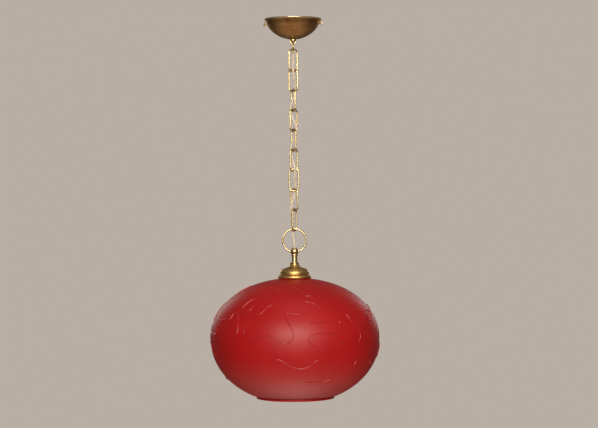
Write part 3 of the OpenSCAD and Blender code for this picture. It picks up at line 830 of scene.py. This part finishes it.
def flex_length(number, top, low):
    """One length of sheath and its cores, from one height down to another."""
    steps = max(8, round((top - low)/(1.8*MM)))
    bm = bmesh.new()
    outer = sweep(bm, flex_stations(top, low, flex_r, steps), 20)
    inner = sweep(bm, flex_stations(top, low, flex_r - sheath_wall, steps), 20)
    for loops in zip(outer, inner):
        bmesh.ops.bridge_loops(bm, edges=loops[0] + loops[1])
    sheath = finished(f"flex_sheath_{number:02d}", bm, SHEATH, None,
                      [f"flex_{number:02d}"])
    bm = bmesh.new()
    for third in range(3):
        rod(bm, flex_stations(top, low, core_r, steps, core_offset, third*math.tau/3), 10)
    cores = finished(f"flex_cores_{number:02d}", bm, COPPER, None)
    for piece in (sheath, cores):
        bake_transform(piece)
    return len(sheath.data.polygons) + len(cores.data.polygons)


jump_middle = -0.050
ring_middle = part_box("suspension_ring")[1].z - 22.4*MM
link_middles = [sum(corner.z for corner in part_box(f"link_{i}"))/2 for i in range(1, 10)]
cuts = [flex_route[0][2], jump_middle, *link_middles, ring_middle, flex_route[-1][2]]
faces = 0
for number in range(1, 13):
    top, low = cuts[number - 1], cuts[number]
    faces += flex_length(number, top, low)
print("flex: twelve lengths,", faces, "faces")

# %% [markdown]
# ## Globe
#
# The globe is blown into a mould, so it is a body of revolution: a squashed round curve that
# is a little fuller than an ellipse, with a hole for the stem and a ground, rolled rim round
# the mouth. Its outline is worked out from the same curve as the frame's solid.

# %% Globe
globe_low, globe_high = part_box("glass_globe")
globe_r = globe_high.x
mouth_depth = 105.8*MM
globe_z = globe_low.z + mouth_depth
globe_up = 107.5*MM
globe_down = 115*MM
glass_wall = 3.2*MM


def glass_radius(h, inset=0.0):
    """Radius of the glass at a height above its widest circle."""
    depth, power = (globe_up, 2.1) if h > 0 else (globe_down, 2.06)
    share = min(1.0, abs(h)/(depth - inset))
    return (globe_r - inset)*(1 - share**power)**(1/power)


def glass_outline():
    """The whole section of the glass, from the hole down to the rim and back up inside."""
    mouth_r, mouth_h, lip = 69.5*MM, -101.2*MM, 4.6*MM
    hole_r = 21*MM
    heights = [globe_up*math.sin(math.radians(a)) for a in range(80, -1, -3)]
    heights += [-globe_down*math.sin(math.radians(a)) for a in range(3, 61, 3)]
    outer = [(glass_radius(h), h) for h in heights]
    inner = [(glass_radius(h*0.97, glass_wall), h*0.97) for h in reversed(heights)]
    top = [(hole_r + 0.8*MM, globe_up*0.9905), (hole_r, globe_up*0.983),
           (hole_r, globe_up*0.968), (hole_r + 0.8*MM, globe_up*0.9605)]
    rim = [(mouth_r + 0.2*MM, mouth_h + 0.4*MM), (mouth_r - 0.6*MM, mouth_h - 0.7*MM)]
    rim += arc((mouth_r - 1.4*MM, mouth_h - lip + 1.4*MM), 1.4*MM, 0, -90, 5)
    rim += arc((mouth_r - lip + 1.4*MM, mouth_h - lip + 1.4*MM), 1.4*MM, -90, -180, 5)
    rim += [(mouth_r - lip, mouth_h + 0.8*MM)]
    section = [top[1], top[0]] + outer + rim + inner + [top[3], top[2]]
    return [(r, globe_z + h) for r, h in section]


globe = turned("red_glass_globe", glass_outline(), SATIN_GLASS, "lamp",
               ["glass_globe"], steps=160, crease=50)
print("globe:", round(2*globe_r/MM), "mm across,", len(globe.data.polygons), "faces")

# %% [markdown]
# ## Trailed threads
#
# A glass worker lets a thin string of hot glass fall on the turning globe and guides it in
# loose curls, so every thread wanders and thins out at its ends. Each one on the front is drawn
# as a few listed marks: degrees round from the front, and millimetres above the widest
# circle. A smooth curve through the marks is laid on the glass and swept with a round section
# that sinks half into it. Threads round the back are drawn by a seeded random walk, in the
# same loose hand.

# %% Trailed threads
FRONT_THREADS = [
    [(-32, 7), (-28, 7), (-24, 13), (-18, 18), (-14, 13), (-7, 3), (-3, 7), (-1, 18), (-3, 30),
     (-6, 44), (-7, 50), (-5, 53), (4, 50)],
    [(27, 18), (20, 19), (13, 18), (10, 14), (9, 8), (11, 0), (16, -9), (21, -8)],
    [(7, 35), (14, 38), (22, 38)],
    [(29, 5), (35, 1)],
    [(8, 72), (13, 70), (17, 66), (20, 59)],
    [(9, 81), (16, 80), (24, 82)],
    [(-14, -25), (-10, -26), (-4, -35), (3, -41), (9, -38), (13, -30), (16, -25)],
    [(7, -66), (15, -68), (23, -66), (28, -61)],
    [(40, 50), (43, 37), (48, 22), (49, 10), (47, 1)],
    [(32, 40), (33, 33)],
    [(56, 38), (62, 48), (72, 52), (77, 46), (70, 37), (61, 35)],
    [(-46, 59), (-42, 72), (-38, 76)],
    [(-37, 55), (-35, 65)],
    [(-31, 49), (-26, 52), (-21, 64), (-18, 66)],
    [(-66, 35), (-59, 40), (-53, 40), (-52, 50), (-48, 51), (-44, 40), (-42, 22), (-43, 13)],
    [(-34, 29), (-37, 25), (-36, 17)],
    [(45, -40), (47, -32)],
    [(65, -35), (72, -43)],
    [(-84, -66), (-78, -70)],
    [(-19, 95), (-20, 90)],
    [(3, 92), (6, 91)],
]
thread_r = 1.25*MM
back_threads = 30


def on_glass(azimuth, height):
    """A point on the glass, from degrees round from the front and millimetres of height."""
    turn = math.radians(azimuth)
    r = glass_radius(height*MM)
    return Vector((r*math.sin(turn), -r*math.cos(turn), globe_z + height*MM))


def smooth_points(marks, steps=6):
    """Points on a smooth curve that passes through every mark."""
    points = [Vector(mark) for mark in marks]
    found = []
    for i in range(len(points) - 1):
        a, b = points[max(i - 1, 0)], points[i]
        c, d = points[i + 1], points[min(i + 2, len(points) - 1)]
        for step in range(steps):
            t = step/steps
            found.append(0.5*(2*b + (c - a)*t + (2*a - 5*b + 4*c - d)*t*t
                              + (3*b - a - 3*c + d)*t**3))
    return found + [points[-1]]


def lay_thread(bm, marks):
    """Sweep one thread along its marks, thinning towards both ends."""
    path = [on_glass(*mark) for mark in smooth_points(marks)]
    last = len(path) - 1
    stations = []
    for i, point in enumerate(path):
        ahead = path[min(i + 1, last)] - path[max(i - 1, 0)]
        taper = min(1.0, 0.35 + 0.5*min(i, last - i))
        stations.append((point, ahead, thread_r*taper))
    rod(bm, stations, 8)


def wandering_marks(dice):
    """A thread on the sides or the back, drawn by a random walk."""
    azimuth, height = dice.uniform(82, 278), dice.uniform(-75, 88)
    heading = dice.uniform(0, math.tau)
    bend = dice.uniform(-0.9, 0.9)
    marks = []
    for _ in range(dice.randint(3, 9)):
        marks.append((azimuth, height))
        heading += bend + dice.uniform(-0.7, 0.7)
        bend *= dice.choice((1, 1, -1))
        azimuth += 6.0*math.cos(heading)
        height = max(-84, min(94, height + 11.0*math.sin(heading)))
    return marks


dice = random.Random(7)
bm = bmesh.new()
for marks in FRONT_THREADS:
    lay_thread(bm, marks)
for _ in range(back_threads):
    lay_thread(bm, wandering_marks(dice))
threads = finished("trailed_threads", bm, TRAILED_GLASS, "lamp", crease=60)
print("threads:", len(FRONT_THREADS), "placed by hand and", back_threads, "by random walks,",
      len(threads.data.polygons), "faces")

# %% [markdown]
# ## Lampholder and bulb
#
# Inside the globe hangs an ordinary screw lampholder with its bulb, which shows from below. A
# modelled helix is worth its faces here, because the thread is what tells the eye that a bulb
# screws in. The filament is a long fine coil that runs zigzag round a glass stem, on wires.

# %% Lampholder
low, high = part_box("holder_body")
rib_r = high.x
body_r = rib_r - 1*MM
edge = 0.8*MM
outline = [(body_r - 2.5*MM, low.z)] + arc((body_r - edge, low.z + edge), edge, -90, 0, 4)
for height in (8, 14, 20):
    outline += [(body_r, low.z + height*MM)]
    outline += arc((rib_r - edge, low.z + (height + 0.8)*MM), edge, -60, 0, 3)
    outline += arc((rib_r - edge, low.z + (height + 2.2)*MM), edge, 0, 60, 3)
    outline += [(body_r, low.z + (height + 3)*MM)]
outline += arc((body_r - 0.4*MM, high.z - 0.4*MM), 0.4*MM, 0, 90, 3)
outline += [(body_r - 4.5*MM, high.z), (body_r - 4.5*MM, high.z - 7*MM),
            (body_r - 2.5*MM, high.z - 7*MM)]
turned("holder_moulding", outline, MOULDED, "lamp", ["holder_body"])
low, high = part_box("holder_shell")
shell_r = high.x
bm = bmesh.new()
spin_outline(bm, [(shell_r - 0.6*MM, low.z), (shell_r - 0.1*MM, low.z), (shell_r, low.z + 0.3*MM),
                  (shell_r, high.z), (shell_r - 0.6*MM, high.z)])
ridge(bm, shell_r - 0.55*MM, 0.5*MM, 3.6*MM, 5, low.z + 3*MM)
shell = finished("threaded_shell", bm, TURNED, "lamp", ["holder_shell"])
print("lampholder:", len(shell.data.polygons), "faces in its shell")

# %% Bulb cap
low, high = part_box("bulb_screw_cap")
crest_r = high.x
core_radius = crest_r - 1*MM
outline = [(crest_r - 1.2*MM, low.z), (core_radius, low.z), (core_radius, high.z - 2.4*MM)]
outline += curve((core_radius - 2.4*MM, high.z - 2.4*MM), (2.4*MM, 2.2*MM), 10, 80, 5)
outline += [(10*MM, high.z), (10*MM, high.z - 1*MM), (crest_r - 1.2*MM, high.z - 3*MM)]
bm = bmesh.new()
spin_outline(bm, outline)
ridge(bm, crest_r - 1.3*MM, 1.25*MM, 3.6*MM, 4, low.z + 3*MM, sides=12)
bulb_cap = finished("bulb_thread", bm, ZINC, "bulb", ["bulb_screw_cap"], crease=50)
low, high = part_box("bulb_contact")
outline = [(0, low.z), (high.x - 0.2*MM, low.z)]
outline += curve((0, low.z + 0.2*MM), (high.x, high.z - low.z - 0.2*MM), 0, 90, 8)
turned("solder_blob", outline, SOLDER, "bulb", ["bulb_contact"], steps=48,
       closed=False)
print("bulb cap:", len(bulb_cap.data.polygons), "faces")

# %% Bulb stem and filament
low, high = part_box("bulb_filament")
stem_top = high.z
coil_z = low.z + 9.5*MM
coil_ring = 9*MM
coil_r = 0.28*MM
coil_turns = 90
coil_steps = 12*coil_turns
filament_r = 0.09*MM
support_r = 0.22*MM
outline = [(0, stem_top)] + curve((0, stem_top - 1*MM), (4.4*MM, 1*MM), 80, 0, 4)
outline += [(3.6*MM, stem_top - 9*MM), (2.2*MM, stem_top - 20*MM), (1.3*MM, stem_top - 24*MM),
            (1.2*MM, coil_z + 3*MM), (1.9*MM, coil_z + 2*MM)]
outline += curve((0, coil_z + 1.2*MM), (1.9*MM, 1.4*MM), 0, -90, 5)
turned("bulb_stem", outline, BULB_GLASS, "bulb", ["bulb_filament"], steps=40,
       closed=False)


def filament_point(share, coil):
    """A point on the zigzag ring of filament, wound in a coil of a small radius."""
    turn = math.radians(20 + 320*share)
    wind = math.tau*coil_turns*share
    zigzag = 3.2*MM*math.cos(6*turn)
    spoke = Vector((math.cos(turn), math.sin(turn), 0))
    return (spoke*(coil_ring - 0.6*MM + coil*math.cos(wind))
            + Vector((0, 0, coil_z + zigzag + coil*math.sin(wind))))


bm = bmesh.new()
path = [filament_point(i/coil_steps, coil_r) for i in range(coil_steps + 1)]
stations = [(point, ahead - behind, filament_r) for behind, point, ahead
            in zip(path[:-2], path[1:-1], path[2:])]
rod(bm, stations, 5)
for share in (0, 0.25, 0.5, 0.75, 1):
    outer_end = filament_point(share, 0)
    hub = Vector((0, 0, coil_z + 1.5*MM))
    path = [hub.lerp(outer_end, i/4) for i in range(5)]
    rod(bm, [(point, outer_end - hub, support_r) for point in path], 8)
filament = finished("bulb_coil", bm, TUNGSTEN, "bulb")
print("filament:", len(filament.data.polygons), "faces")

# %% [markdown]
# ## Floor, world and lights
#
# A pale floor far below and a pale warm room make a plain studio. A wide soft box above the
# camera gives the globe its broad glow, and a dim panel round the camera draws the bright
# lines down the chain. Weak boxes behind and above fill in the back and the top. One far below
# lights the mouth of the globe and the bulb in it, and another beside it faces the floor.
# Between them the room is dim, because polished brass only looks like brass when it has
# something dark to reflect.

# %% Floor
floor_z = -4.5
bm = bmesh.new()
bmesh.ops.create_grid(bm, x_segments=8, y_segments=8, size=5)
bmesh.ops.translate(bm, verts=bm.verts, vec=(0, 0, floor_z))
floor_mesh = bpy.data.meshes.new("floor")
bm.to_mesh(floor_mesh)
bm.free()
floor_material, tree, shader = new_finish("pale_floor", (0.78, 0.73, 0.66), 0.0, 0.8)
specks = noise(tree, place_on_lamp(tree), 3)
use(tree, shader, Base_Color=ramp(tree, specks, [(0.3, (0.74, 0.69, 0.62)),
                                                 (0.7, (0.80, 0.75, 0.68))]))
floor_mesh.materials.append(floor_material)
floor = bpy.data.objects.new("floor", floor_mesh)
scene.collection.objects.link(floor)

# %% World
world = bpy.data.worlds.new("room")
scene.world = world
world.use_nodes = True
room = world.node_tree
room.nodes.clear()
seen = add_node(room, "ShaderNodeBackground", {"Color": (0.485, 0.423, 0.371, 1), "Strength": 1.0})
where = add_node(room, "ShaderNodeTexCoord")
height = add_node(room, "ShaderNodeSeparateXYZ", {"Vector": where.outputs["Generated"]})
level = add_node(room, "ShaderNodeMapRange", {"Value": height.outputs["Z"], "From Min": -1.0,
                                              "From Max": 1.0})
glow = ramp(room, level.outputs["Result"], [(0.0, (0.20, 0.17, 0.14)), (0.45, (0.34, 0.30, 0.26)),
                                            (0.75, (0.62, 0.56, 0.50))])
lighting = add_node(room, "ShaderNodeBackground", {"Color": glow, "Strength": 0.27})
path = add_node(room, "ShaderNodeLightPath")
through = add_node(room, "ShaderNodeMath", {0: path.outputs["Is Camera Ray"],
                                            1: path.outputs["Is Transmission Ray"]},
                   operation="MAXIMUM")
both = add_node(room, "ShaderNodeMixShader", {0: through.outputs["Value"],
                                              1: lighting.outputs["Background"],
                                              2: seen.outputs["Background"]})
add_node(room, "ShaderNodeOutputWorld", {"Surface": both.outputs["Shader"]})

# %% Lights
def soft_box(name, place, target, size, watts, colour=(1, 0.95, 0.88)):
    """A rectangular soft box that faces its target."""
    data = bpy.data.lights.new(name, "AREA")
    data.shape = "RECTANGLE"
    data.size, data.size_y = size
    data.energy = watts
    data.color = colour
    lamp = bpy.data.objects.new(name, data)
    lamp.location = place
    lamp.visible_camera = False
    aim(lamp, target)
    scene.collection.objects.link(lamp)


soft_box("high_box", (0.05, -3.9, 0.9), (0, 0, -0.5), (3.0, 1.3), 148)
soft_box("front_panel", (0.05, -4.2, -0.2), (0, 0, -0.3), (2.2, 2.0), 32)
soft_box("left_box", (-1.5, 3.4, 0.2), (0, 0, -0.4), (0.8, 1.4), 11)
soft_box("right_box", (1.5, 3.4, 0.2), (0, 0, -0.4), (0.8, 1.4), 11)
soft_box("top_box", (0.2, -0.6, 2.6), (0, 0, -0.4), (1.6, 1.2), 8)
soft_box("low_box", (0, 0.6, -3.2), (0, 0, -0.6), (1.2, 1.2), 11)
soft_box("floor_box", (0, 0, -3.3), (0, 0.01, floor_z), (5.0, 5.0), 60)
print("lights:", len(bpy.data.lights))

# %% Last update
bpy.context.view_layer.update()
